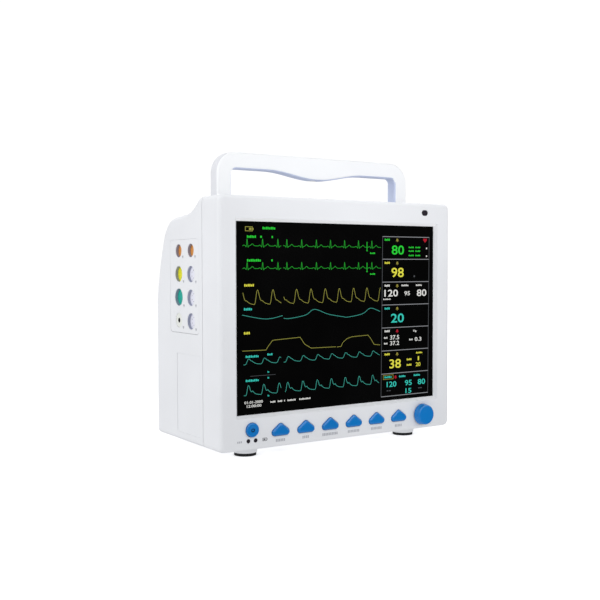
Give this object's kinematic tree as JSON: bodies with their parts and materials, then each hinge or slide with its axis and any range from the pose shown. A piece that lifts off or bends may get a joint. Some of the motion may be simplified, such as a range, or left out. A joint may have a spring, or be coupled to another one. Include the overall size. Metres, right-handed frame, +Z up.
{
  "type": "patient monitor",
  "caption": "Bedside patient monitor: white two-part housing, flat screen, fold-down handle, blue keys, push-and-turn knob and side sensor sockets.",
  "frame": {"origin": "on the table under the pads, midway across the width and the depth", "axes": "+Z up, screen faces -Y, +X is the right hand of someone who reads the screen"},
  "size_m": [0.292, 0.156, 0.305],
  "materials": {
    "housing_white": "satin moulded white plastic",
    "handle_white": "smooth satin white plastic",
    "key_blue": "glossy blue plastic",
    "window_clear": "dark clear window",
    "display_black": "black display module",
    "foam_black": "closed-cell foam",
    "rubber_black": "matte black rubber",
    "sheet_steel": "zinc-plated sheet",
    "steel": "turned steel",
    "board_green": "coated circuit board",
    "part_black": "black moulded plastic",
    "lens_dark": "dark tinted lens",
    "socket_orange": "orange insulator",
    "socket_yellow": "yellow insulator",
    "socket_teal": "teal insulator",
    "socket_white": "white insulator",
    "port_pale": "pale hose port",
    "aluminium": "plain aluminium",
    "brass": "plated brass"
  },
  "bodies": {
    "monitor": {"front_housing": "housing_white", "rear_housing": "housing_white", "handle_pins": "steel", "handle_washers": "part_black", "display_window": "window_clear", "window_gasket": "foam_black", "lcd_panel": "display_black", "lcd_bracket": "sheet_steel", "backlight_board": "board_green", "key_board": "board_green", "key_switches": "part_black", "encoder_body": "sheet_steel", "status_lights": "lens_dark", "alarm_light": "lens_dark", "sensor_panel": "housing_white", "temperature_sockets": "socket_orange", "oximeter_socket": "socket_yellow", "ecg_socket": "socket_teal", "pressure_sockets": "socket_white", "cuff_port": "port_pale", "parameter_board": "board_green", "chassis": "sheet_steel", "main_board": "board_green", "power_supply": "aluminium", "cuff_pump": "part_black", "cuff_valve": "part_black", "loudspeaker": "part_black", "battery_pack": "part_black", "battery_door": "housing_white", "connector_bay": "housing_white", "connector_plate": "sheet_steel", "mains_inlet": "part_black", "inlet_pins": "brass", "fuse_caps": "part_black", "ground_post": "brass", "network_port": "sheet_steel", "feet": "housing_white", "foot_pads": "rubber_black", "housing_screws": "steel", "bracket_screws": "steel", "door_screws": "steel"},
    "handle": {"carry_handle": "handle_white"},
    "power_button": {"power_button": "key_blue"},
    "key_1": {"key_1": "key_blue"},
    "key_2": {"key_2": "key_blue"},
    "key_3": {"key_3": "key_blue"},
    "key_4": {"key_4": "key_blue"},
    "key_5": {"key_5": "key_blue"},
    "key_6": {"key_6": "key_blue"},
    "plunger": {"encoder_plunger": "part_black"},
    "knob": {"control_knob": "key_blue", "encoder_shaft": "steel"}
  },
  "joints": [
    {"name": "handle_fold", "type": "hinge", "parent": "monitor", "child": "handle", "pos_m": [0, -0.01455, 0.25], "axis": [-1, 0, 0], "range_deg": [0, 90]},
    {"name": "power_button_press", "type": "slide", "parent": "monitor", "child": "power_button", "axis": [0, 1, 0], "range_m": [0, 0.001], "stiffness_N_per_m": 1200, "springref_m": -0.0006},
    {"name": "key_1_press", "type": "slide", "parent": "monitor", "child": "key_1", "axis": [0, 1, 0], "range_m": [0, 0.001], "stiffness_N_per_m": 1200, "springref_m": -0.0006},
    {"name": "key_2_press", "type": "slide", "parent": "monitor", "child": "key_2", "axis": [0, 1, 0], "range_m": [0, 0.001], "stiffness_N_per_m": 1200, "springref_m": -0.0006},
    {"name": "key_3_press", "type": "slide", "parent": "monitor", "child": "key_3", "axis": [0, 1, 0], "range_m": [0, 0.001], "stiffness_N_per_m": 1200, "springref_m": -0.0006},
    {"name": "key_4_press", "type": "slide", "parent": "monitor", "child": "key_4", "axis": [0, 1, 0], "range_m": [0, 0.001], "stiffness_N_per_m": 1200, "springref_m": -0.0006},
    {"name": "key_5_press", "type": "slide", "parent": "monitor", "child": "key_5", "axis": [0, 1, 0], "range_m": [0, 0.001], "stiffness_N_per_m": 1200, "springref_m": -0.0006},
    {"name": "key_6_press", "type": "slide", "parent": "monitor", "child": "key_6", "axis": [0, 1, 0], "range_m": [0, 0.001], "stiffness_N_per_m": 1200, "springref_m": -0.0006},
    {"name": "knob_press", "type": "slide", "parent": "monitor", "child": "plunger", "axis": [0, 1, 0], "range_m": [0, 0.0008], "stiffness_N_per_m": 3000, "springref_m": -0.0006},
    {"name": "knob_turn", "type": "hinge", "parent": "plunger", "child": "knob", "pos_m": [0.1055, -0.06905, 0.026], "axis": [0, -1, 0], "continuous": true}
  ]
}
